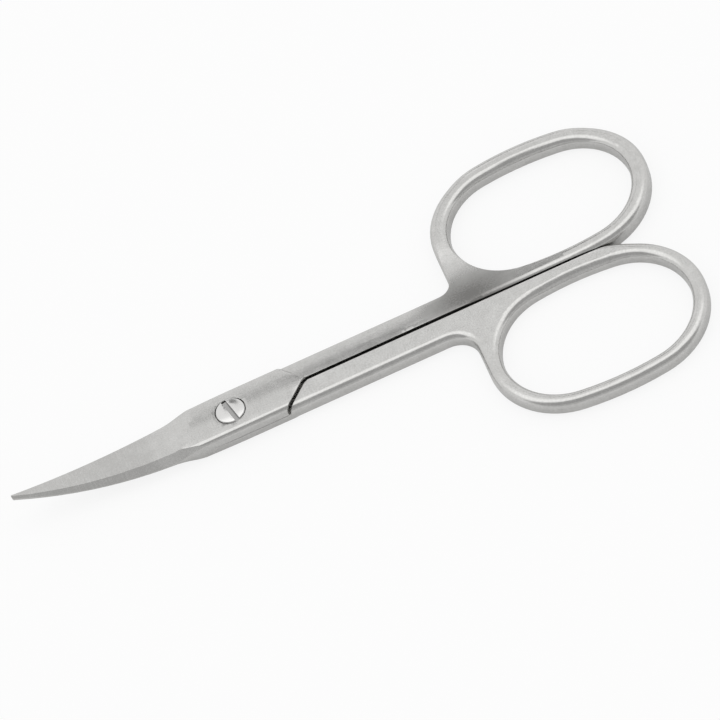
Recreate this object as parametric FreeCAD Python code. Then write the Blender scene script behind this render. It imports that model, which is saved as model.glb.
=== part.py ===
import FreeCAD
import Part
import math
import os

# Cuticle scissors: two forged steel halves lapped over each other and held by one slotted screw.
# Millimetres. X runs from the blade tips (-X) to the finger rings (+X), Y across, Z up.
# The origin is on the pivot axis, in the plane that the closed scissors rest on.
# The front half carries the screw head and has its ring on the +Y side; the rear half lies under it.

# Lap joint
body_width = 6.9          # across the joint and across both shanks
joint_thickness = 3.0     # both laps together
joint_round = 0.75        # rounding of the lap's edge on the side of the blade's back
lap_clearance = 0.04      # between the two lap faces
shoulder_reach = 10.1     # pivot to the point where the slanted shoulder meets the centre line
shoulder_angle = 45.0     # of the shoulder to the centre line, in degrees
shoulder_round = 1.6      # where the shoulder runs into the gap between the shanks
closing_gap = 0.25        # left between the halves at the shoulder and the shanks when closed

# Blades, which sweep upwards along an arc
tip_reach = 29.3          # pivot to tip
tip_half_width = 0.3
curve_start = 9.5         # distance from the pivot where the upward sweep begins
curve_radius = 58.0
face_height_root = 0.8    # of the ground face over the inner face, on the centre line
face_height_tip = 0.4
face_slope = 11.5         # fall of the ground face towards the cutting edge, in degrees
spine_bevel_angle = 55.0  # of the bevel along the blade's back, in degrees
spine_wall = 0.1          # upright strip left under that bevel
edge_setback = 0.1        # the cutting edge stands inside the other blade's back
face_runout_start = 9.5   # distance from the pivot where the ground face begins to run out into the joint
face_runout_rise = 0.95   # by which it climbs there, along a hollow arc and then a full one
face_runout_radius = 8.5  # of both arcs
bevel_runout_start = 11.5
bevel_runout_rise = 1.75
bevel_runout_radius = 12.0

# Crown of the body's outer side, along the joint and the shank
crown_radius = 17.0
crown_shift = 0.8         # of the crown's highest line from the middle of the body, away from the shank
crown_runout_radius = 30.0  # where the crown of the shank ends, before the web
crown_runout_angle = 40.0   # of that curve, as far as it is drawn, in degrees

# Handles
front_handle_thickness = 2.75
rear_handle_thickness = 2.45
handle_round = 0.95       # rounding of the upper edges of shank, web and ring
handle_bevel = 0.6        # of their lower edges
round_limit_share = 0.46  # most of a rod's width or thickness that one rounding may take
ring_reach = 60.55        # pivot to the far end of the rings
ring_end_share = 0.97     # end radius of a ring as a share of its half width
front_ring_half_length = 13.35  # of the ring's centre line
front_ring_half_width = 9.45
front_rod_width = 2.38
front_ring_trim = 0.35    # ground off the ring where the two lie side by side
front_crotch_round = 1.8  # between shank and ring
rear_ring_half_length = 13.57
rear_ring_half_width = 9.73
rear_rod_width = 2.08
rear_ring_trim = 0.1
rear_crotch_round = 3.1
forging_run_on = 0.85     # by which a shank is forged past the gap, so that grinding leaves a crisp edge
front_ramp_radius = 16.0  # of the two arcs by which the front web draws back from that line
rear_leave_angle = 30.0   # at which the rear ring leaves that line, in degrees
rear_leave_radius = 12.0
hollow_radius = 40.0      # of the shallow hollow along the front web
hollow_depth = 0.35
hollow_offset = 6.0       # of its deepest line from the centre line

# Pivot screw
head_diameter = 3.9
head_proud = 0.05         # of the head's rim over the joint
head_dome = 0.1
head_rim = 0.15           # chamfer round the head
head_recess_depth = 0.8
head_clearance = 0.1      # round the head, in its recess
head_seat_gap = 0.05      # running gap under the head
slot_width = 0.65
slot_depth = 0.4
slot_turn = 13.0          # of the slot from the Y axis, in degrees
bearing_diameter = 2.4
bearing_clearance = 0.03  # between the plain part of the screw and the front half
thread_diameter = 2.0
thread_clearance = 0.01
screw_end_recess = 0.1    # the screw ends this far inside the underside

overrun = 2.0             # by which cutting shapes run past what they cut
fine = 0.01               # lengths under this count as nothing

split = joint_thickness / 2
half_width = body_width / 2
FRONT = 1
REAR = -1
ORIGIN = FreeCAD.Vector(0, 0, 0)
X_AXIS = FreeCAD.Vector(1, 0, 0)
Z_AXIS = FreeCAD.Vector(0, 0, 1)

# Worked out: the blade's back is one arc in plan, from the pivot's side to the tip
blade_length = tip_reach - tip_half_width
spine_rise = half_width - tip_half_width
spine_radius = (blade_length ** 2 + spine_rise ** 2) / (2 * spine_rise)
sweep_length = tip_reach - curve_start
tip_rise = curve_radius - math.sqrt(curve_radius ** 2 - sweep_length ** 2)
sky = joint_thickness + tip_rise + half_width * math.tan(math.radians(spine_bevel_angle)) + overrun


def vec(x, y, z=0.0):
    return FreeCAD.Vector(x, y, z)


def line(a, b):
    return Part.LineSegment(a, b).toShape()


def arc(a, b, c):
    return Part.Arc(a, b, c).toShape()


def arc_about(centre, a, b):
    """The shorter arc about a centre, from a to b."""
    middle = (a - centre) + (b - centre)
    middle.normalize()
    return arc(a, centre + middle * (a - centre).Length, b)


def polygon(points):
    return Part.Face(Part.makePolygon(points + points[:1]))


def face(edges):
    return Part.Face(Part.Wire(edges))


def to_rear(shape):
    """What a tool for the front lap becomes for the rear lap: the halves are alike, turned over about X."""
    turned = shape.copy()
    turned.rotate(vec(0, 0, split), X_AXIS, 180)
    return turned


def mirrored(shape):
    return shape.mirror(ORIGIN, vec(0, 1))


def spine(x):
    """Half the blade's width at a place along it."""
    return half_width - (spine_radius - math.sqrt(spine_radius ** 2 - x ** 2))


def sweep(x):
    """Rise of the inner face over the joint, at a distance from the pivot."""
    past = max(abs(x) - curve_start, 0.0)
    return curve_radius - math.sqrt(curve_radius ** 2 - past ** 2)


# Blades

def blade_plan():
    """Outline of the front blade and its lap, with the back on the -Y side."""
    lap_end = shoulder_reach + overrun
    back_tip = vec(-blade_length, -tip_half_width)
    edge_tip = vec(-blade_length, tip_half_width - edge_setback)
    middle = -blade_length / 2
    return face([
        line(vec(lap_end, -half_width), vec(0, -half_width)),
        arc(vec(0, -half_width), vec(middle, -spine(middle)), back_tip),
        arc(back_tip, vec(-tip_reach, (back_tip.y + edge_tip.y) / 2), edge_tip),
        arc(edge_tip, vec(middle, spine(middle) - edge_setback), vec(0, half_width)),
        line(vec(0, half_width), vec(lap_end, half_width)),
        line(vec(lap_end, half_width), vec(lap_end, -half_width)),
    ])


def under_inner_face(level):
    """Everything under the inner faces, turned about the pivot so that the blades slide past each other."""
    reach = tip_reach + overrun
    middle = (curve_start + reach) / 2
    bend = vec(curve_start, 0, level)
    end = vec(reach, 0, level + sweep(reach))
    profile = face([
        line(vec(0, 0, -sky), vec(0, 0, level)),
        line(vec(0, 0, level), bend),
        arc(bend, vec(middle, 0, level + sweep(middle)), end),
        line(end, vec(reach, 0, -sky)),
        line(vec(reach, 0, -sky), vec(0, 0, -sky)),
    ])
    return profile.revolve(ORIGIN, Z_AXIS, 360)


def grinding(side, heights, slope, runout):
    """What one pass of the wheel takes off a blade: an arc along it, run out towards the joint, drawn across.

    heights gives the ground surface on the centre line at a place along the blade, and runout where the
    climb towards the joint begins, how high it goes and the radius of its two arcs.
    """
    root, rise, runout_radius = runout
    far = -(tip_reach + overrun)
    middle = (root + far) / 2
    start = vec(root, 0, heights(root))
    swing = math.acos(1 - rise / (2 * runout_radius))
    ramp = vec(math.sin(swing), 0, side * (1 - math.cos(swing))) * runout_radius
    crest = start + ramp * 2
    radius = vec(0, 0, side * runout_radius)
    away = side * sky + start.z
    profile = face([
        arc_about(crest - radius, crest, start + ramp),
        arc_about(start + radius, start + ramp, start),
        arc(start, vec(middle, 0, heights(middle)), vec(far, 0, heights(far))),
        line(vec(far, 0, heights(far)), vec(far, 0, away)),
        line(vec(far, 0, away), vec(crest.x, 0, away)),
        line(vec(crest.x, 0, away), crest),
    ])
    across = vec(0, body_width + overrun, (body_width + overrun) * slope)
    profile.translate(across * (-1 / 2))
    return profile.extrude(across)


def ground_face(side):
    def heights(x):
        along = (abs(x) - curve_start) / sweep_length
        height = face_height_root + (face_height_tip - face_height_root) * along
        return split + sweep(x) + side * height
    runout = (-face_runout_start, face_runout_rise, face_runout_radius)
    return grinding(side, heights, -math.tan(math.radians(face_slope)), runout)


def spine_bevel(side):
    slope = math.tan(math.radians(spine_bevel_angle))

    def heights(x):
        return split + sweep(x) + side * (spine_wall + slope * spine(x))
    runout = (-bevel_runout_start, bevel_runout_rise, bevel_runout_radius)
    return grinding(side, heights, slope, runout)


def crown_points(x, level):
    """The highest, middle and far points of the shallow arc across the body, at a place along it."""
    axis = vec(x, -crown_shift, level - crown_radius)
    lean = math.asin((half_width + crown_shift) / crown_radius)
    return [axis + vec(0, math.sin(a), math.cos(a)) * crown_radius for a in (0.0, lean / 2, lean)]


def lap_top():
    """Everything over the front lap: rounded along the edge on its back's side, crowned towards the other."""
    start = -curve_start
    top, middle, far = crown_points(start, joint_thickness)
    hub = vec(start, joint_round - half_width, joint_thickness - joint_round)
    wall = hub - vec(0, joint_round)
    near = wall - vec(0, overrun)
    beyond = far + vec(0, overrun)
    profile = face([
        line(near, wall),
        arc_about(hub, wall, hub + vec(0, 0, joint_round)),
        line(hub + vec(0, 0, joint_round), top),
        arc(top, middle, far),
        line(far, beyond),
        line(beyond, vec(start, beyond.y, sky)),
        line(vec(start, beyond.y, sky), vec(start, near.y, sky)),
        line(vec(start, near.y, sky), near),
    ])
    return profile.extrude(vec(curve_start + shoulder_reach + overrun, 0))


def lap_end():
    """The slanted end of the front lap, where it falls to the shank."""
    reach = body_width + shoulder_reach
    end = polygon([
        vec(-overrun, -reach, joint_thickness + overrun),
        vec(joint_thickness + overrun, -reach, -overrun),
        vec(reach, -reach, -overrun),
        vec(reach, -reach, joint_thickness + overrun),
    ]).extrude(vec(0, 2 * reach))
    end.rotate(ORIGIN, Z_AXIS, 90 - shoulder_angle)
    end.translate(vec(shoulder_reach, 0))
    return end


def territory(offset, low, high):
    """Space of the rear handle: behind the shoulder, on its side of the centre line, grown by an offset."""
    turn = math.radians(shoulder_angle)
    corner = vec(shoulder_reach - offset * math.tan(turn / 2), offset, low)
    radius = shoulder_round + offset
    tangent = radius * math.tan(turn / 2)
    on_axis = corner + vec(tangent, 0)
    on_shoulder = corner - vec(math.cos(turn), math.sin(turn)) * tangent
    depth = max(front_ring_half_width, rear_ring_half_width) * 3
    far = ring_reach + overrun
    foot = on_shoulder - vec(math.cos(turn), math.sin(turn)) * (depth / math.sin(turn))
    plan = face([
        line(vec(far, offset, low), on_axis),
        arc_about(on_axis - vec(0, radius), on_axis, on_shoulder),
        line(on_shoulder, foot),
        line(foot, vec(far, foot.y, low)),
        line(vec(far, foot.y, low), vec(far, offset, low)),
    ])
    return plan.extrude(vec(0, 0, high - low))


def lap_and_blade(side):
    """The half-thick part of one half: its blade and its lap over the joint."""
    plan = blade_plan()
    if side == REAR:
        plan = mirrored(plan)
    blank = plan.extrude(vec(0, 0, sky))
    if side == FRONT:
        blank = blank.cut(under_inner_face(split + lap_clearance / 2))
    else:
        blank = blank.common(under_inner_face(split - lap_clearance / 2))
    tools = [lap_top(), lap_end(), territory(closing_gap / 2, split - overrun, sky)]
    if side == REAR:
        tools = [to_rear(tool) for tool in tools]
    return blank.cut(tools + [ground_face(side), spine_bevel(side)])


# Handles

def ring_sizes(side):
    """Half length and half width of a ring's centre line, the width of its rod and its trim at the gap."""
    if side == FRONT:
        return front_ring_half_length, front_ring_half_width, front_rod_width, front_ring_trim
    return rear_ring_half_length, rear_ring_half_width, rear_rod_width, rear_ring_trim


def crotch_round(side):
    return front_crotch_round if side == FRONT else rear_crotch_round


def handle_thickness(side):
    return front_handle_thickness if side == FRONT else rear_handle_thickness


def ring_arcs(side, rod_side):
    """Centres and radii of the four arcs of a ring, on the outer side (1) or finger side (-1) of its rod."""
    half_length, half_wide, rod_width, trim = ring_sizes(side)
    end_radius = half_wide * ring_end_share
    end_offset = half_length - end_radius
    side_radius = (end_offset ** 2 + half_wide ** 2 - end_radius ** 2) / (2 * (half_wide - end_radius))
    side_offset = side_radius - half_wide
    half_rod = rod_width / 2
    centre = vec(ring_reach - half_length - half_rod, closing_gap / 2 - trim + half_wide + half_rod)
    return {
        "near": centre - vec(end_offset, 0),
        "far": centre + vec(end_offset, 0),
        "inner": centre + vec(0, side_offset),
        "outer": centre - vec(0, side_offset),
        "end_radius": end_radius + rod_side * half_rod,
        "side_radius": side_radius + rod_side * half_rod,
    }


def junction(ring, side_name, end_name):
    """Where a side arc of a ring runs into an end arc."""
    towards = ring[end_name] - ring[side_name]
    towards.normalize()
    return ring[side_name] + towards * ring["side_radius"]


def finger_hole(side):
    ring = ring_arcs(side, -1)
    near_low = junction(ring, "inner", "near")
    far_low = junction(ring, "inner", "far")
    far_high = junction(ring, "outer", "far")
    near_high = junction(ring, "outer", "near")
    return face([
        arc_about(ring["inner"], near_low, far_low),
        arc_about(ring["far"], far_low, far_high),
        arc_about(ring["outer"], far_high, near_high),
        arc_about(ring["near"], near_high, near_low),
    ])


def crotch_centre(side):
    """Centre of the hollow corner between the shank and the near end of the ring."""
    ring = ring_arcs(side, 1)
    radius = crotch_round(side)
    return vec(ring["near"].x - ring["end_radius"] - radius, half_width + radius)


def front_gap_side(start):
    """The forged line past the gap, from the shank to the finger ring, which draws back along the web."""
    ring = ring_arcs(FRONT, 1)
    lowest = ring["inner"] - vec(0, ring["side_radius"])
    far_low = junction(ring, "inner", "far")
    swing = math.acos(1 - (lowest.y - start.y) / (2 * front_ramp_radius))
    half_ramp = vec(math.sin(swing), 1 - math.cos(swing)) * front_ramp_radius
    foot = vec(crotch_centre(FRONT).x, start.y)
    crest = foot + half_ramp * 2
    return [
        line(start, foot),
        arc_about(foot + vec(0, front_ramp_radius), foot, foot + half_ramp),
        arc_about(crest - vec(0, front_ramp_radius), foot + half_ramp, crest),
        line(crest, lowest),
        arc_about(ring["inner"], lowest, far_low),
    ], far_low


def rear_gap_side(start):
    """The forged line past the gap, from the shank along the finger ring, which leaves it at a slant."""
    ring = ring_arcs(REAR, 1)
    angle = math.radians(rear_leave_angle)
    slant = vec(math.cos(angle), math.sin(angle))
    on_ring = ring["far"] + vec(slant.y, -slant.x) * ring["end_radius"]
    corner = on_ring - slant * ((on_ring.y - start.y) / slant.y)
    tangent = rear_leave_radius * math.tan(angle / 2)
    before = corner - vec(tangent, 0)
    return [
        line(start, before),
        arc_about(before + vec(0, rear_leave_radius), before, corner + slant * tangent),
        line(corner + slant * tangent, on_ring),
    ], on_ring


def handle_plan(side):
    """Shank, web and ring on the +Y side, run on past the gap so that the rounding is trimmed there."""
    ring = ring_arcs(side, 1)
    start = vec(shoulder_reach - body_width, closing_gap / 2 - forging_run_on)
    gap_side, far_low = front_gap_side(start) if side == FRONT else rear_gap_side(start)
    leftmost = ring["near"] - vec(ring["end_radius"], 0)
    crotch = crotch_centre(side)
    on_ring = crotch + vec(crotch_round(side), 0)
    on_shank = crotch - vec(0, crotch_round(side))
    far_high = junction(ring, "outer", "far")
    near_high = junction(ring, "outer", "near")
    outline = face(gap_side + [
        arc_about(ring["far"], far_low, far_high),
        arc_about(ring["outer"], far_high, near_high),
        arc_about(ring["near"], near_high, leftmost),
        line(leftmost, on_ring),
        arc_about(crotch, on_ring, on_shank),
        line(on_shank, vec(start.x, half_width)),
        line(vec(start.x, half_width), start),
    ])
    return outline.cut(finger_hole(side)).Faces[0]


def crown_finish(side):
    """Where the crown of a shank begins to run out, to be gone at the crotch."""
    top, middle, far = crown_points(0, handle_thickness(side))
    return crotch_centre(side).x - math.sqrt(2 * crown_runout_radius * (top.z - far.z))


def crown(side):
    """What is ground off the outer side of a shank: a shallow barrel along it, run out before the crotch."""
    start = shoulder_reach - body_width
    finish = crown_finish(side)
    top, middle, far = crown_points(start, handle_thickness(side))
    lift = vec(0, 0, crown_runout_radius / 2)
    beyond = far + vec(0, overrun)
    section = face([
        arc(top, middle, far),
        line(far, beyond),
        line(beyond, vec(start, beyond.y, top.z + lift.z)),
        line(vec(start, beyond.y, top.z + lift.z), top + lift),
        line(top + lift, top),
    ])
    straight = section.extrude(vec(finish - start, 0))
    section.translate(vec(finish - start, 0))
    hub = vec(finish, 0, handle_thickness(side) + crown_runout_radius)
    return straight.fuse(section.revolve(hub, vec(0, -1), crown_runout_angle))


def web_hollow():
    """The wheel that hollows the front web, from the end of the crown to the middle of the finger ring."""
    start = crown_finish(FRONT)
    finish = ring_arcs(FRONT, 1)["inner"].x
    level = front_handle_thickness - hollow_depth + hollow_radius
    return Part.makeCylinder(hollow_radius, finish - start, vec(start, hollow_offset, level), X_AXIS)


def rims(plate, level):
    """The edges of a handle plate and its finger hole at one height, apart from its cut-off start."""
    start = plate.BoundBox.XMin + fine
    flat = [edge for edge in plate.Edges if edge.BoundBox.ZLength < fine]
    return [e for e in flat if abs(e.BoundBox.ZMin - level) < fine and e.BoundBox.XMax > start]


def handle(side):
    """One shank with its finger ring, full thickness, with eased edges."""
    thickness = handle_thickness(side)
    plate = handle_plan(side).extrude(vec(0, 0, thickness))
    limit = round_limit_share * min(ring_sizes(side)[2], thickness)
    plate = plate.makeFillet(min(handle_round, limit), rims(plate, thickness))
    plate = plate.makeChamfer(min(handle_bevel, limit), rims(plate, 0))
    tool = crown(side)
    room = territory(-closing_gap / 2, -overrun, sky)
    if side == FRONT:
        plate = plate.cut(web_hollow())
        room = mirrored(room)
    else:
        plate = mirrored(plate)
        tool.rotate(vec(0, 0, thickness / 2), X_AXIS, 180)
    return plate.cut(tool).common(room)


# The three pieces

def front_half():
    half = lap_and_blade(FRONT).fuse(handle(FRONT))
    bore = Part.makeCylinder(bearing_diameter / 2 + bearing_clearance, sky)
    recess = Part.makeCylinder(head_diameter / 2 + head_clearance, sky)
    recess.translate(vec(0, 0, joint_thickness - head_recess_depth))
    return half.cut([bore, recess]).removeSplitter()


def rear_half():
    half = lap_and_blade(REAR).fuse(handle(REAR))
    tapped = Part.makeCylinder(thread_diameter / 2 + thread_clearance, sky * 2)
    tapped.translate(vec(0, 0, -sky))
    return half.cut(tapped).removeSplitter()


def pivot_screw():
    """Slotted head in its recess, plain bearing through the front half, thread into the rear half."""
    seat = split - lap_clearance / 2
    head_bottom = joint_thickness - head_recess_depth + head_seat_gap
    rim_top = joint_thickness + head_proud
    head = head_diameter / 2
    bearing = bearing_diameter / 2
    thread = thread_diameter / 2
    flat = head - head_rim
    dome_top = rim_top + head_dome
    dome_radius = (flat ** 2 + head_dome ** 2) / (2 * head_dome)
    half_way = vec(flat / 2, 0, dome_top - dome_radius + math.sqrt(dome_radius ** 2 - flat ** 2 / 4))
    profile = face([
        line(vec(0, 0, screw_end_recess), vec(thread, 0, screw_end_recess)),
        line(vec(thread, 0, screw_end_recess), vec(thread, 0, seat)),
        line(vec(thread, 0, seat), vec(bearing, 0, seat)),
        line(vec(bearing, 0, seat), vec(bearing, 0, head_bottom)),
        line(vec(bearing, 0, head_bottom), vec(head, 0, head_bottom)),
        line(vec(head, 0, head_bottom), vec(head, 0, rim_top - head_rim)),
        line(vec(head, 0, rim_top - head_rim), vec(flat, 0, rim_top)),
        arc(vec(flat, 0, rim_top), half_way, vec(0, 0, dome_top)),
        line(vec(0, 0, dome_top), vec(0, 0, screw_end_recess)),
    ])
    screw = profile.revolve(ORIGIN, Z_AXIS, 360)
    slot = Part.makeBox(slot_width, head_diameter + overrun, slot_depth + overrun)
    slot.translate(vec(-slot_width / 2, -(head_diameter + overrun) / 2, dome_top - slot_depth))
    slot.rotate(ORIGIN, Z_AXIS, slot_turn)
    return screw.cut(slot)


os.makedirs("parts", exist_ok=True)
pieces = {"front_half": front_half(), "rear_half": rear_half(), "pivot_screw": pivot_screw()}
for name, shape in pieces.items():
    solid = shape.Solids[0]
    solid.exportStep("parts/" + name + ".step")
    print(name, "solids", len(shape.Solids), "valid", solid.isValid(), "volume", round(solid.Volume))
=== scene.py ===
import math

import bmesh
import bpy
from mathutils import Matrix, Vector


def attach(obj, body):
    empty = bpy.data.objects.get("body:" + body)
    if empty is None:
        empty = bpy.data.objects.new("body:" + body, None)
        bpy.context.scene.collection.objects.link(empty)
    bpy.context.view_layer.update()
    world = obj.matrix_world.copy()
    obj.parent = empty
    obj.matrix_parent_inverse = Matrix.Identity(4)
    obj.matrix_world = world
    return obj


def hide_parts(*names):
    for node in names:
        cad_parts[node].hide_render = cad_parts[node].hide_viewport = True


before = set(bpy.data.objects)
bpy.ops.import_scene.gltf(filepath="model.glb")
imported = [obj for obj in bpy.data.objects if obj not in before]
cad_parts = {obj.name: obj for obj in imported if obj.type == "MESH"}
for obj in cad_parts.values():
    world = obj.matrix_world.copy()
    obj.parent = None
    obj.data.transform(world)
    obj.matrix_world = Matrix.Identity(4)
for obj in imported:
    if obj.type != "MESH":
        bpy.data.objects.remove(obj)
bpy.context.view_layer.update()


# Rear half: the lower of the two halves, with its blade, shank and finger ring forged in one piece from
# stainless bar. The mating sides and the blade are ground, the rest is blasted to a satin grey, and
# tumbling has eased the edges. The pivot screw is threaded into it.

MM = 0.001
EASED_EDGE = 0.09 * MM
EDGE_STEPS = 3
EDGE_PROFILE = 0.5
SHARP_ANGLE = math.radians(30)
KNIFE_ANGLE = math.radians(115)
CORNER_ANGLE = math.radians(140)
SHORTEST_RUN = 1.5 * MM
WELD_DISTANCE = 0.002 * MM
SLIVER_WIDTH = 0.03 * MM
SLIVER_TURN = math.radians(5)
FLAT_ANGLE = math.radians(0.3)


def edge_turn(edge):
    """The angle between the two faces of an edge, or 0 where it doesn't have just two."""
    return edge.calc_face_angle(0.0)


def next_in_run(edge, corner, sharp):
    """The one sharp edge that carries on past a corner without a turn, if there is one."""
    others = [e for e in corner.link_edges if e in sharp and e is not edge]
    if len(others) != 1:
        return None
    before = edge.other_vert(corner).co - corner.co
    after = others[0].other_vert(corner).co - corner.co
    return others[0] if before.angle(after) > CORNER_ANGLE else None


def run_length(run):
    """The length of a run of edges."""
    return sum(e.calc_length() for e in run)


def sharp_runs(shape):
    """The edges that tumbling eases, in runs, longest first; knife edges and hollow corners are left out."""
    eased = [e for e in shape.edges if e.is_convex and SHARP_ANGLE < edge_turn(e) < KNIFE_ANGLE]
    sharp = set(eased)
    waiting = set(eased)
    runs = []
    for first in eased:
        if first not in waiting:
            continue
        waiting.remove(first)
        run = [first]
        for corner in first.verts:
            edge = next_in_run(first, corner, sharp)
            while edge in waiting:
                waiting.remove(edge)
                run.append(edge)
                corner = edge.other_vert(corner)
                edge = next_in_run(edge, corner, sharp)
        if run_length(run) > SHORTEST_RUN:
            runs.append(run)
    return sorted(runs, key=run_length, reverse=True)


def slivers(shape):
    """The long edges of thin triangles that stand out of the round face beside them, last found first."""
    found = []
    for face in shape.faces:
        longest = max(face.edges, key=bmesh.types.BMEdge.calc_length)
        width = 2 * face.calc_area() / longest.calc_length()
        proud = SLIVER_TURN < edge_turn(longest) < SHARP_ANGLE
        if width < SLIVER_WIDTH and proud and longest not in found:
            found.append(longest)
    return found[::-1]


def settle(piece):
    """Turns what a piece's modifiers make into its own plain mesh."""
    graph = bpy.context.evaluated_depsgraph_get()
    mesh = bpy.data.meshes.new_from_object(piece.evaluated_get(graph))
    mesh.name = piece.name
    piece.modifiers.clear()
    piece.data = mesh


def tumbled_copy(node, name, polish):
    """A merged copy of a CAD node, polished, with its sharp runs eased and its round faces smooth."""
    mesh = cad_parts[node].data.copy()
    mesh.name = name
    mesh.materials.clear()
    if "custom_normal" in mesh.attributes:
        mesh.attributes.remove(mesh.attributes["custom_normal"])
    shape = bmesh.new()
    shape.from_mesh(mesh)
    bmesh.ops.remove_doubles(shape, verts=shape.verts, dist=WELD_DISTANCE)
    bmesh.ops.rotate_edges(shape, edges=slivers(shape), use_ccw=False)
    shape.normal_update()
    bmesh.ops.dissolve_limit(shape, angle_limit=FLAT_ANGLE, verts=shape.verts, edges=shape.edges)
    polish(shape)
    for run in sharp_runs(shape):
        edges = [e for e in run if e.is_valid]
        bmesh.ops.bevel(shape, geom=edges, offset=EASED_EDGE, segments=EDGE_STEPS, profile=EDGE_PROFILE,
                        affect="EDGES", clamp_overlap=True)
    for face in shape.faces:
        face.smooth = True
    for edge in shape.edges:
        edge.smooth = edge_turn(edge) < SHARP_ANGLE
    shape.to_mesh(mesh)
    shape.free()
    piece = bpy.data.objects.new(name, mesh)
    bpy.context.scene.collection.objects.link(piece)
    weighted = piece.modifiers.new("flat faces stay flat", "WEIGHTED_NORMAL")
    weighted.keep_sharp = True
    settle(piece)
    return piece


ALONG = Vector((1, 0, 0))
ACROSS = Vector((0, 1, 0))
LEVEL_TOP = 0.9
REAR_RING_OUTER = -0.1 * MM
REAR_LEAN_START = 36.0 * MM, 43.0 * MM
REAR_LEAN_END = 48.0 * MM, 56.0 * MM
REAR_LEAN_LOW = -4.0 * MM
LEAN_SLOPE = math.tan(math.radians(10))
LEAN_WIDTH = 1.9 * MM
LEAN_FADE = 1.9 * MM, 8.5 * MM
LEAN_HEIGHT = 0.9 * MM, 2.1 * MM
LEAN_STEP = 0.4 * MM


def looks_up(face, along, across, least):
    """Whether a face's middle is between limits along and across, and its normal points up enough."""
    middle = face.calc_center_median()
    inside = along[0] < middle.x < along[1] and across[0] < middle.y < across[1]
    return inside and face.normal.z > least


def divided(shape, wanted, axis, limits, step):
    """Cuts the wanted faces across an axis at even steps between two limits."""
    low, high = limits
    for row in range(round((high - low) / step) + 1):
        faces = [f for f in shape.faces if wanted(f)]
        edges = {e for f in faces for e in f.edges}
        verts = {v for f in faces for v in f.verts}
        bmesh.ops.bisect_plane(shape, geom=faces + list(edges) + list(verts), dist=WELD_DISTANCE,
                               plane_co=axis * (low + row * step), plane_no=axis)


def eased_step(value, limits):
    """0 before the first limit and 1 past the second, smooth in between."""
    along = (value - limits[0]) / (limits[1] - limits[0])
    along = min(max(along, 0.0), 1.0)
    return along * along * (3 - 2 * along)


def leaned_ring(shape, outer, share):
    """Leans the top of a finger ring's far side towards its hole."""
    for vert in shape.verts:
        inward = outer - vert.co.y
        if inward > 0:
            depth = LEAN_SLOPE * min(inward, LEAN_WIDTH) * (1 - eased_step(inward, LEAN_FADE))
            vert.co.z -= depth * eased_step(vert.co.z, LEAN_HEIGHT) * share(vert.co.x)
    shape.normal_update()


def rear_ring_top(face):
    """Whether a face is on top of the rear ring's far side."""
    return looks_up(face, (REAR_LEAN_START[0], REAR_LEAN_END[1]), (REAR_LEAN_LOW, 0.0), LEVEL_TOP)


def rear_lean(x):
    """How far the rear ring leans at a place along it."""
    return eased_step(x, REAR_LEAN_START) * (1 - eased_step(x, REAR_LEAN_END))


def polished_rear(shape):
    """Leans the rear ring's far side, over a fine grid of faces."""
    divided(shape, rear_ring_top, ALONG, (REAR_LEAN_START[0], REAR_LEAN_END[1]), LEAN_STEP)
    divided(shape, rear_ring_top, ACROSS, (REAR_LEAN_LOW, REAR_RING_OUTER - LEAN_STEP), LEAN_STEP)
    leaned_ring(shape, REAR_RING_OUTER, rear_lean)


def feed(tree, place, value):
    """Feeds an input with another node's output or with a plain value."""
    if isinstance(value, bpy.types.NodeSocket):
        tree.links.new(value, place)
    else:
        place.default_value = value


def arithmetic(tree, operation, *values, clamp=False):
    """The result of a maths node."""
    node = tree.nodes.new("ShaderNodeMath")
    node.operation = operation
    node.use_clamp = clamp
    for place, value in zip(node.inputs, values):
        feed(tree, place, value)
    return node.outputs["Value"]


def blended(tree, share, under, over):
    """One colour over another, by a share."""
    node = tree.nodes.new("ShaderNodeMix")
    node.data_type = "RGBA"
    feed(tree, node.inputs["Factor"], share)
    feed(tree, node.inputs["A"], under)
    feed(tree, node.inputs["B"], over)
    return node.outputs["Result"]


def apart(tree, vector):
    """The X, Y and Z of a vector."""
    node = tree.nodes.new("ShaderNodeSeparateXYZ")
    tree.links.new(vector, node.inputs["Vector"])
    return node.outputs


def noise(tree, place, scale, detail):
    """Noise at a place, from 0 to 1."""
    node = tree.nodes.new("ShaderNodeTexNoise")
    node.inputs["Detail"].default_value = detail
    tree.links.new(place, node.inputs["Vector"])
    tree.links.new(scale, node.inputs["Scale"])
    return node.outputs["Fac"]


def shader_group(name, inputs, outputs):
    """An empty shader node group with named inputs (and their values) and outputs."""
    group = bpy.data.node_groups.new(name, "ShaderNodeTree")
    for label, value in inputs.items():
        socket = group.interface.new_socket(label, in_out="INPUT", socket_type="NodeSocketFloat")
        socket.default_value = value
    for label in outputs:
        group.interface.new_socket(label, in_out="OUTPUT", socket_type="NodeSocketFloat")
    given = group.nodes.new("NodeGroupInput").outputs
    result = group.nodes.new("NodeGroupOutput").inputs
    return group, given, result


PIT_DETAIL = 3.0
MOTTLE_DETAIL = 4.0
LINE_DETAIL = 2.0


def blasted_grain_group():
    """Fine pits of a blasted surface, and the slow mottling of tone that comes with them."""
    group, given, result = shader_group(
        "blasted grain",
        {"Pits per metre": 5000.0, "Mottles per metre": 700.0},
        ("Pits", "Mottle"))
    where = group.nodes.new("ShaderNodeTexCoord").outputs["Object"]
    pits = noise(group, where, given["Pits per metre"], PIT_DETAIL)
    mottle = noise(group, where, given["Mottles per metre"], MOTTLE_DETAIL)
    group.links.new(pits, result["Pits"])
    group.links.new(mottle, result["Mottle"])
    return group


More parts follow.
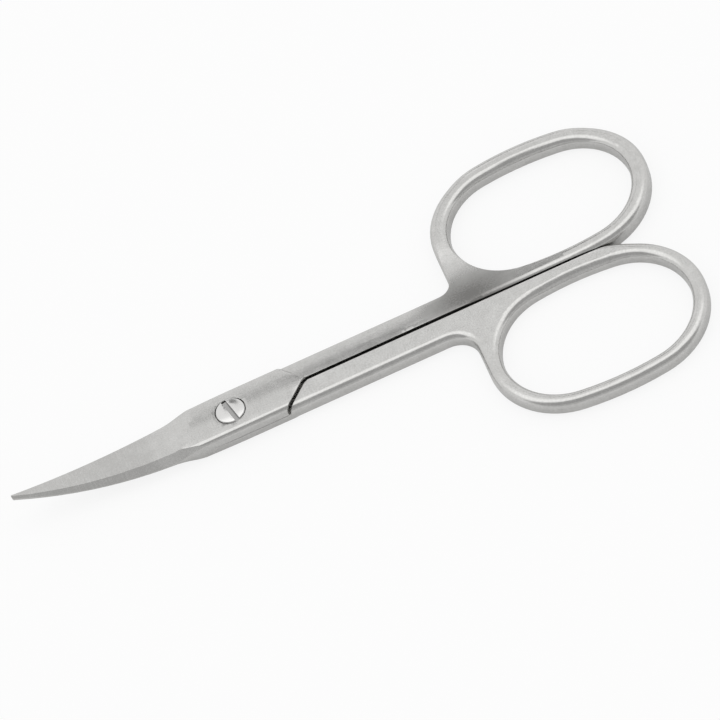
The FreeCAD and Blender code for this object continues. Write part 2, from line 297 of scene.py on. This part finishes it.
def grinding_lines_group():
    """Fine lines that the wheel leaves across a blade, and the mask of where it has been at work."""
    group, given, result = shader_group(
        "grinding lines",
        {"Lines per metre": 6000.0, "Width by length": 0.06, "Start": -10.5 * MM, "Fade": 1.5 * MM},
        ("Lines", "Ground"))
    where = apart(group, group.nodes.new("ShaderNodeTexCoord").outputs["Object"])
    across = arithmetic(group, "MULTIPLY", where["Y"], given["Width by length"])
    place = group.nodes.new("ShaderNodeCombineXYZ")
    group.links.new(where["X"], place.inputs["X"])
    group.links.new(across, place.inputs["Y"])
    lines = noise(group, place.outputs["Vector"], given["Lines per metre"], LINE_DETAIL)
    past = arithmetic(group, "SUBTRACT", given["Start"], where["X"])
    ground = arithmetic(group, "DIVIDE", past, given["Fade"], clamp=True)
    group.links.new(lines, result["Lines"])
    group.links.new(ground, result["Ground"])
    return group


def placed(tree, group):
    """The outputs of a shader group that is placed in a material."""
    node = tree.nodes.new("ShaderNodeGroup")
    node.node_tree = group
    return node.outputs


def bare_metal(name):
    """A new metal with nothing on its surface yet."""
    material = bpy.data.materials.new(name)
    material.use_nodes = True
    surface = material.node_tree.nodes["Principled BSDF"].inputs
    surface["Metallic"].default_value = 1.0
    return material, material.node_tree, surface


# Painted shade: a dark reflection painted into the colour of the web's hollow, broken up by the pits.
HOLLOW_SHADE_TONE = (0.21, 0.207, 0.2, 1.0)
HOLLOW_SHADE_PLACE = (33.4 * MM, 1.3 * MM, 2.6 * MM)
HOLLOW_SHADE_REACH = (9.0 * MM, 5.2 * MM, 1.6 * MM)
HOLLOW_SHADE_STRENGTH = 1.3
HOLLOW_SHADE_LEAST = 0.45
HOLLOW_SHADE_PITTING = 0.9


def dull_shaded_hollow(tree, pits):
    """A mask of the hollow of the front web, for a dark reflection painted into its colour and a rougher
    finish.
    """
    where = tree.nodes.new("ShaderNodeTexCoord").outputs["Object"]
    spot = tree.nodes.new("ShaderNodeMapping")
    spot.vector_type = "TEXTURE"
    spot.inputs["Location"].default_value = HOLLOW_SHADE_PLACE
    spot.inputs["Scale"].default_value = HOLLOW_SHADE_REACH
    tree.links.new(where, spot.inputs["Vector"])
    ball = tree.nodes.new("ShaderNodeTexGradient")
    ball.gradient_type = "SPHERICAL"
    tree.links.new(spot.outputs["Vector"], ball.inputs["Vector"])
    front = arithmetic(tree, "GREATER_THAN", apart(tree, where)["Y"], 0.0)
    strength = arithmetic(tree, "MULTIPLY", front, HOLLOW_SHADE_STRENGTH)
    wide = arithmetic(tree, "MULTIPLY", ball.outputs["Fac"], strength)
    broken = arithmetic(tree, "MULTIPLY_ADD", pits, HOLLOW_SHADE_PITTING, HOLLOW_SHADE_LEAST)
    return arithmetic(tree, "MULTIPLY", wide, broken, clamp=True)


SATIN_DARK = (0.500, 0.496, 0.484, 1.0)
SATIN_LIGHT = (0.620, 0.616, 0.604, 1.0)
SPECKLE = 1.6
STREAK = 1.2
BLASTED_STREAK_SHARE = 0.35
GROUND_DULLER = 0.35
SATIN_ROUGHNESS = 0.2
MOTTLE_ROUGHNESS = 0.06
HOLLOW_ROUGHNESS = 0.15
GRAIN_DEPTH = 0.0020 * MM
LINE_DEPTH = 0.0015 * MM
METRE = 1.0

blasted_grain = blasted_grain_group()
grinding_lines = grinding_lines_group()


def satin_steel():
    """Blasted stainless steel, ground across along the blades, rougher in the hollow of the web, with
    painted shade there.
    """
    material, tree, surface = bare_metal("satin_steel")
    grain = placed(tree, blasted_grain)
    ground = placed(tree, grinding_lines)
    speckle = arithmetic(tree, "MULTIPLY_ADD", grain["Pits"], SPECKLE, -SPECKLE / 2)
    streak = arithmetic(tree, "MULTIPLY_ADD", ground["Lines"], STREAK, -STREAK / 2)
    strength = arithmetic(tree, "MULTIPLY_ADD", ground["Ground"], 1 - BLASTED_STREAK_SHARE,
                          BLASTED_STREAK_SHARE)
    fine = arithmetic(tree, "MULTIPLY_ADD", streak, strength, speckle)
    mottled = arithmetic(tree, "ADD", fine, grain["Mottle"])
    lighter = arithmetic(tree, "MULTIPLY_ADD", ground["Ground"], -GROUND_DULLER, mottled)
    tone = blended(tree, lighter, SATIN_DARK, SATIN_LIGHT)
    # The web's hollow takes a painted dark reflection in its colour, and a rougher finish.
    shaded_hollow = dull_shaded_hollow(tree, grain["Pits"])
    tree.links.new(blended(tree, shaded_hollow, tone, HOLLOW_SHADE_TONE), surface["Base Color"])
    satin = arithmetic(tree, "MULTIPLY_ADD", grain["Mottle"], MOTTLE_ROUGHNESS, SATIN_ROUGHNESS)
    rough = arithmetic(tree, "MULTIPLY_ADD", shaded_hollow, HOLLOW_ROUGHNESS, satin)
    tree.links.new(rough, surface["Roughness"])
    pits = arithmetic(tree, "MULTIPLY", grain["Pits"], GRAIN_DEPTH)
    lines = arithmetic(tree, "MULTIPLY", ground["Lines"], ground["Ground"])
    height = arithmetic(tree, "MULTIPLY_ADD", lines, LINE_DEPTH, pits)
    bump = tree.nodes.new("ShaderNodeBump")
    bump.inputs["Distance"].default_value = METRE
    tree.links.new(height, bump.inputs["Height"])
    tree.links.new(bump.outputs["Normal"], surface["Normal"])
    return material


half_steel = satin_steel()

rear = tumbled_copy("rear_half", "rear_half_finished", polished_rear)
rear.data.materials.append(half_steel)
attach(rear, "rear")
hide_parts("rear_half")


# Front half: the upper half, forged and ground like the rear one and lapped over it at the joint. It is
# of the same steel, bored and recessed for the screw, and turns on the screw's plain bearing.

LAP_TOP = 3.0 * MM
LAP_START, LAP_END = -9.0 * MM, 8.5 * MM
HANDLE_TOP = 2.75 * MM
CROWN_RADIUS = 17.0 * MM
CROWN_MIDDLE = -0.8 * MM
CROWN_NEAR = 0.03 * MM
BODY_LOW, BODY_HIGH = -2.6 * MM, 3.4 * MM
BODY_STEP = 0.6 * MM


def corners(shape, wanted):
    """The points of the wanted faces."""
    return {v for f in shape.faces if wanted(f) for v in f.verts}


def crown_height(y, top):
    """Height of the crowned upper side at a place across the body."""
    return top - max(y - CROWN_MIDDLE, 0.0) ** 2 / (2 * CROWN_RADIUS)


def rounded_crown(shape, start, end, top):
    """Divides the flat strips of a crowned upper side and sets their points on its true round."""
    def crowned(face):
        """Whether a face is on this stretch of the crown."""
        return looks_up(face, (start, end), (BODY_LOW, BODY_HIGH), LEVEL_TOP)

    divided(shape, crowned, ALONG, (start + BODY_STEP, end - BODY_STEP), BODY_STEP)
    divided(shape, crowned, ACROSS, (BODY_LOW + BODY_STEP, BODY_HIGH - BODY_STEP), BODY_STEP)
    for vert in corners(shape, crowned):
        height = crown_height(vert.co.y, top)
        if abs(vert.co.z - height) < CROWN_NEAR:
            vert.co.z = height


WEB_START, WEB_END = 20.0 * MM, 37.0 * MM
WEB_LOW, WEB_HIGH = 0.15 * MM, 11.65 * MM
WEB_STEP = 0.5 * MM
CROWN_FADE = 25.0 * MM, 31.0 * MM
CROWN_EDGE = 0.15 * MM, 1.2 * MM
EDGE_FADE = 20.0 * MM, 27.0 * MM
HOLLOW_DEPTH = 0.35 * MM
HOLLOW_RADIUS = 40.0 * MM
HOLLOW_MIDDLE = 6.0 * MM
HOLLOW_NEAR = 0.015 * MM


def hollow_depth(y):
    """Depth of the web's hollow at a place across it."""
    return max(HOLLOW_DEPTH - (y - HOLLOW_MIDDLE) ** 2 / (2 * HOLLOW_RADIUS), 0.0)


def crown_share(x, y):
    """How far the crown holds: whole on the shank, fading into the web, and first along the gap."""
    edge = (1 - eased_step(y, CROWN_EDGE)) * eased_step(x, EDGE_FADE)
    return (1 - eased_step(x, CROWN_FADE)) * (1 - edge)


def web_top(face):
    """Whether a face is on the upper side of the front web."""
    return looks_up(face, (WEB_START, WEB_END), (WEB_LOW, WEB_HIGH), LEVEL_TOP)


def polished_web(shape):
    """Sets the hollow of the web on its true round and lets the crown of the shank fade into it."""
    divided(shape, web_top, ALONG, (WEB_START + WEB_STEP, WEB_END - WEB_STEP), WEB_STEP)
    divided(shape, web_top, ACROSS, (WEB_LOW + WEB_STEP, WEB_HIGH - WEB_STEP), WEB_STEP)
    tops = corners(shape, web_top)
    inner = {v for v in tops if all(web_top(f) for f in v.link_faces)}
    for vert in tops:
        x, y, height = vert.co
        crown = crown_height(y, HANDLE_TOP)
        hollow = HANDLE_TOP - hollow_depth(y)
        if vert in inner and crown - HOLLOW_NEAR < height < hollow + HOLLOW_NEAR:
            height = hollow
        vert.co.z = height + (min(height, crown) - height) * crown_share(x, y)


ROUND_TOP = 0.3
ROD_RUNOUT = 9.5 * MM, 14.0 * MM
ROD_STEP = 0.3 * MM
ROD_LEFT, ROD_RIGHT = 28.0 * MM, 38.0 * MM
RING_RUNOUT = 46.0 * MM, 54.0 * MM
RING_STEP = 0.5 * MM
RING_HIGH = 4.0 * MM


def on_rod(face):
    """Whether a face is on top of the ring where the hollow runs out up its rod."""
    return looks_up(face, (ROD_LEFT, ROD_RIGHT), ROD_RUNOUT, ROUND_TOP)


def on_ring(face):
    """Whether a face is on top of the ring where the hollow runs out along the gap."""
    return looks_up(face, (RING_RUNOUT[0] - RING_STEP, RING_RUNOUT[1]), (0.0, RING_HIGH), ROUND_TOP)


def faded_hollow(shape):
    """Lets both ends of the hollow run out into the ring without a step."""
    divided(shape, on_rod, ACROSS, ROD_RUNOUT, ROD_STEP)
    divided(shape, on_ring, ALONG, RING_RUNOUT, RING_STEP)
    start, end = ROD_RUNOUT
    for vert in corners(shape, on_rod):
        left = max(end - vert.co.y, 0.0) / (end - start)
        vert.co.z = min(vert.co.z, HANDLE_TOP - hollow_depth(start) * left * left)
    for vert in corners(shape, on_ring):
        left = 1 - eased_step(vert.co.x, RING_RUNOUT)
        vert.co.z = min(vert.co.z, HANDLE_TOP - hollow_depth(vert.co.y) * left)
    bmesh.ops.remove_doubles(shape, verts=shape.verts, dist=WELD_DISTANCE)
    shape.normal_update()


FRONT_RING_OUTER = 21.05 * MM
FRONT_LEAN_START = 26.0 * MM, 34.0 * MM


def front_lean(x):
    """How far the front ring leans at a place along it."""
    return eased_step(x, FRONT_LEAN_START)


def polished_front(shape):
    """Rounds the lap, the shank and the web, and leans the ring's far side."""
    rounded_crown(shape, LAP_START, LAP_END, LAP_TOP)
    rounded_crown(shape, LAP_END, WEB_START, HANDLE_TOP)
    polished_web(shape)
    faded_hollow(shape)
    leaned_ring(shape, FRONT_RING_OUTER, front_lean)


front = tumbled_copy("front_half", "front_half_finished", polished_front)
front.data.materials.append(half_steel)
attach(front, "front")
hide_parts("front_half")


# Pivot screw: a slotted screw turned from bar and polished brighter than the halves, with a low dome.
# Its head sits in the front half's recess and its thread holds in the rear half.

BRIGHT_DARK = (0.66, 0.655, 0.645, 1.0)
BRIGHT_LIGHT = (0.72, 0.715, 0.705, 1.0)
BRIGHT_ROUGHNESS = 0.15
# Painted shade for the screw: its upright walls and the slot's floor are darkened in the colour.
SLOT_SHADE_TONE = (0.03, 0.03, 0.03, 1.0)
SLOT_SHADE = 2.55 * MM, 2.85 * MM
SLOT_FLOOR_SHARE = 0.45
WALL_FALL = 1.5


def slot_shade(tree):
    """A mask of painted shade on the upright walls, and partly on the slot's floor and lower down."""
    where = tree.nodes.new("ShaderNodeTexCoord").outputs
    upright = arithmetic(tree, "ABSOLUTE", apart(tree, where["Normal"])["Z"])
    wall = arithmetic(tree, "POWER", arithmetic(tree, "SUBTRACT", 1.0, upright), WALL_FALL)
    floor = tree.nodes.new("ShaderNodeMapRange")
    floor.inputs["From Min"].default_value = SLOT_SHADE[0]
    floor.inputs["From Max"].default_value = SLOT_SHADE[1]
    floor.inputs["To Min"].default_value = SLOT_FLOOR_SHARE
    floor.inputs["To Max"].default_value = 0.0
    tree.links.new(apart(tree, where["Object"])["Z"], floor.inputs["Value"])
    return arithmetic(tree, "MAXIMUM", wall, floor.outputs["Result"])


def bright_steel():
    """Polished steel with the faint unevenness of a tumbled head, with painted shade in its slot and on its
    walls.
    """
    material, tree, surface = bare_metal("bright_steel")
    grain = placed(tree, blasted_grain)
    tone = blended(tree, grain["Mottle"], BRIGHT_DARK, BRIGHT_LIGHT)
    # The slot and the upright walls take painted shade.
    tree.links.new(blended(tree, slot_shade(tree), tone, SLOT_SHADE_TONE), surface["Base Color"])
    rough = arithmetic(tree, "MULTIPLY_ADD", grain["Mottle"], MOTTLE_ROUGHNESS, BRIGHT_ROUGHNESS)
    tree.links.new(rough, surface["Roughness"])
    return material


THREAD_RADIUS = 1.0 * MM
THREAD_DEPTH = 0.2 * MM
THREAD_PITCH = 0.4 * MM
THREAD_LOW, THREAD_HIGH = 0.3 * MM, 1.28 * MM
THREAD_STEPS = 32
RIDGE_SIDES = 4
SHOULDER_HEIGHT = 1.5 * MM
SLOT_FLOOR = 2.75 * MM
SLOT_DEEPER = 0.2 * MM
NEAR = 0.03 * MM


def turned_screw(shape):
    """Turns the plain end down to the root of its thread and files the slot a little deeper."""
    for vert in shape.verts:
        radius = vert.co.xy.length
        if vert.co.z < SHOULDER_HEIGHT and abs(radius - THREAD_RADIUS) < NEAR:
            vert.co.xy *= (THREAD_RADIUS - THREAD_DEPTH) / radius
        if abs(vert.co.z - SLOT_FLOOR) < NEAR and radius > NEAR:
            vert.co.z -= SLOT_DEEPER


def thread_tree(material):
    """A node tree that draws a pointed ridge along a helix round the Z axis."""
    tree = bpy.data.node_groups.new("screw thread", "GeometryNodeTree")
    for label in ("Crest radius", "Depth", "Pitch", "Length", "Foot"):
        tree.interface.new_socket(label, in_out="INPUT", socket_type="NodeSocketFloat")
    tree.interface.new_socket("Geometry", in_out="OUTPUT", socket_type="NodeSocketGeometry")
    given = tree.nodes.new("NodeGroupInput").outputs
    root = arithmetic(tree, "SUBTRACT", given["Crest radius"], given["Depth"])
    turns = arithmetic(tree, "DIVIDE", given["Length"], given["Pitch"])
    helix = tree.nodes.new("GeometryNodeCurveSpiral")
    helix.inputs["Resolution"].default_value = THREAD_STEPS
    tree.links.new(turns, helix.inputs["Rotations"])
    tree.links.new(root, helix.inputs["Start Radius"])
    tree.links.new(root, helix.inputs["End Radius"])
    tree.links.new(given["Length"], helix.inputs["Height"])
    upright = tree.nodes.new("GeometryNodeSetCurveNormal")
    upright.mode = "Z_UP"
    tree.links.new(helix.outputs["Curve"], upright.inputs["Curve"])
    ridge = tree.nodes.new("GeometryNodeCurvePrimitiveCircle")
    ridge.inputs["Resolution"].default_value = RIDGE_SIDES
    tree.links.new(given["Depth"], ridge.inputs["Radius"])
    swept = tree.nodes.new("GeometryNodeCurveToMesh")
    swept.inputs["Fill Caps"].default_value = True
    tree.links.new(upright.outputs["Curve"], swept.inputs["Curve"])
    tree.links.new(ridge.outputs["Curve"], swept.inputs["Profile Curve"])
    foot = tree.nodes.new("ShaderNodeCombineXYZ")
    tree.links.new(given["Foot"], foot.inputs["Z"])
    lifted = tree.nodes.new("GeometryNodeTransform")
    tree.links.new(swept.outputs["Mesh"], lifted.inputs["Geometry"])
    tree.links.new(foot.outputs["Vector"], lifted.inputs["Translation"])
    real = tree.nodes.new("GeometryNodeRealizeInstances")
    tree.links.new(lifted.outputs["Geometry"], real.inputs["Geometry"])
    painted = tree.nodes.new("GeometryNodeSetMaterial")
    painted.inputs["Material"].default_value = material
    tree.links.new(real.outputs["Geometry"], painted.inputs["Geometry"])
    tree.links.new(painted.outputs["Geometry"], tree.nodes.new("NodeGroupOutput").inputs["Geometry"])
    return tree


def screw_thread(material):
    """The thread of the screw, as a plain mesh."""
    piece = bpy.data.objects.new("pivot_screw_thread", bpy.data.meshes.new("pivot_screw_thread"))
    bpy.context.scene.collection.objects.link(piece)
    modifier = piece.modifiers.new("screw thread", "NODES")
    modifier.node_group = thread_tree(material)
    sizes = (THREAD_RADIUS, THREAD_DEPTH, THREAD_PITCH, THREAD_HIGH - THREAD_LOW, THREAD_LOW)
    sockets = [s for s in modifier.node_group.interface.items_tree if s.in_out == "INPUT"]
    for socket, size in zip(sockets, sizes):
        modifier[socket.identifier] = size
    settle(piece)
    return piece


screw_steel = bright_steel()
screw = tumbled_copy("pivot_screw", "pivot_screw_finished", turned_screw)
screw.data.materials.append(screw_steel)
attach(screw, "rear")
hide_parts("pivot_screw")
thread = screw_thread(screw_steel)
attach(thread, "rear")


# Studio: a pale table in a white room, a soft box overhead, and cards that only reflections see: grey
# ones on the camera's side and a dark one beyond the object, as are used to give bright metal its form.

FLOOR_HALF = 1.5
FLOOR_COLOUR = (0.75, 0.75, 0.75, 1.0)
FLOOR_ROUGHNESS = 0.9
FLOOR_GLOW = 0.85
GLOSS_GLOW = 0.1
CARD_DISTANCE = 0.9
CARD_HALF = 1.6
NEAR_SIDE, FAR_SIDE = -1, 1
BOX_LENGTH, BOX_WIDTH = 1.6, 0.6
BOX_PLACE = (0.0, 0.165, 0.8)
BOX_ADDED = 0.45
WHITE = (1, 1, 1, 1)


def sheet(name, outline):
    """A flat sheet of the studio, which is no part of the object."""
    mesh = bpy.data.meshes.new(name)
    mesh.from_pydata(outline, [], [(0, 1, 2, 3)])
    card = bpy.data.objects.new(name, mesh)
    bpy.context.scene.collection.objects.link(card)
    return card


def white_table():
    """A pale table that glows nearly white to the camera, less in reflections, and keeps a shadow."""
    material = bpy.data.materials.new("white_table")
    material.use_nodes = True
    tree = material.node_tree
    surface = tree.nodes["Principled BSDF"]
    surface.inputs["Base Color"].default_value = FLOOR_COLOUR
    surface.inputs["Roughness"].default_value = FLOOR_ROUGHNESS
    surface.inputs["Specular IOR Level"].default_value = 0.0
    glow = tree.nodes.new("ShaderNodeEmission")
    ray = tree.nodes.new("ShaderNodeLightPath").outputs
    mirrored = arithmetic(tree, "MAXIMUM", ray["Is Glossy Ray"], ray["Is Transmission Ray"])
    seen = arithmetic(tree, "MULTIPLY", ray["Is Camera Ray"], FLOOR_GLOW)
    share = arithmetic(tree, "MULTIPLY_ADD", mirrored, GLOSS_GLOW, seen)
    mix = tree.nodes.new("ShaderNodeMixShader")
    tree.links.new(share, mix.inputs["Fac"])
    tree.links.new(surface.outputs["BSDF"], mix.inputs[1])
    tree.links.new(glow.outputs["Emission"], mix.inputs[2])
    tree.links.new(mix.outputs["Shader"], tree.nodes["Material Output"].inputs["Surface"])
    return material


def card_finish(name, level):
    """An even glow, as bright as the card looks."""
    material = bpy.data.materials.new(name)
    material.use_nodes = True
    tree = material.node_tree
    tree.nodes.remove(tree.nodes["Principled BSDF"])
    glow = tree.nodes.new("ShaderNodeEmission")
    glow.inputs["Strength"].default_value = level
    tree.links.new(glow.outputs["Emission"], tree.nodes["Material Output"].inputs["Surface"])
    return material


def reflected_card(name, side, low, high, level, left=-CARD_HALF, right=CARD_HALF):
    """A card on one side of the table, between two elevations in degrees, which only gloss shows."""
    rows = []
    for elevation in (low, high):
        angle = math.radians(elevation)
        rows.append((side * CARD_DISTANCE * math.cos(angle), CARD_DISTANCE * math.sin(angle)))
    (y0, z0), (y1, z1) = rows
    card = sheet(name, [(left, y0, z0), (right, y0, z0), (right, y1, z1), (left, y1, z1)])
    card.data.materials.append(card_finish(name, level))
    card.visible_camera = False
    card.visible_diffuse = False
    card.visible_shadow = False
    card.visible_transmission = False


floor = sheet("floor", [(-FLOOR_HALF, -FLOOR_HALF, 0), (FLOOR_HALF, -FLOOR_HALF, 0),
                        (FLOOR_HALF, FLOOR_HALF, 0), (-FLOOR_HALF, FLOOR_HALF, 0)])
floor.data.materials.append(white_table())
reflected_card("dark_card", FAR_SIDE, low=35, high=45.5, level=0.05, left=-0.005, right=0.12)
reflected_card("grey_card", NEAR_SIDE, low=30, high=76, level=0.5)
reflected_card("low_grey_card", NEAR_SIDE, low=4, high=30, level=0.66)

box_lamp = bpy.data.lights.new("soft_box", "AREA")
box_lamp.shape = "RECTANGLE"
box_lamp.size = BOX_LENGTH
box_lamp.size_y = BOX_WIDTH
box_lamp.energy = BOX_ADDED * math.pi * box_lamp.size * box_lamp.size_y
soft_box = bpy.data.objects.new("soft_box", box_lamp)
soft_box.location = BOX_PLACE
bpy.context.scene.collection.objects.link(soft_box)

world = bpy.data.worlds.new("white_room")
world.use_nodes = True
room = world.node_tree.nodes["Background"].inputs
room["Color"].default_value = WHITE
room["Strength"].default_value = 1.0
bpy.context.scene.world = world


# Camera: the photograph's angle, from in front of the joint and half way up.
# A long lens stands well back, so that the far ring is hardly smaller than the near one.

AIM = Vector((17.4, 0.0, 1.5)) * MM
ELEVATION = math.radians(50.7)
ROLL = math.radians(24.3)
DISTANCE = 0.8764
LENS_LENGTH = 350.0
SENSOR_WIDTH = 36.0

camera_data = bpy.data.cameras.new("camera")
camera_data.lens = LENS_LENGTH
camera_data.sensor_width = SENSOR_WIDTH
camera = bpy.data.objects.new("camera", camera_data)
bpy.context.scene.collection.objects.link(camera)
upright = Vector((0, math.sin(ELEVATION), math.cos(ELEVATION)))
back = Vector((0, -math.cos(ELEVATION), math.sin(ELEVATION)))
right = ALONG * math.cos(ROLL) - upright * math.sin(ROLL)
up = ALONG * math.sin(ROLL) + upright * math.cos(ROLL)
turn = Matrix((right, up, back)).transposed().to_4x4()
camera.matrix_world = Matrix.Translation(AIM + back * DISTANCE) @ turn
bpy.context.scene.camera = camera
bpy.context.scene.view_settings.view_transform = "Standard"
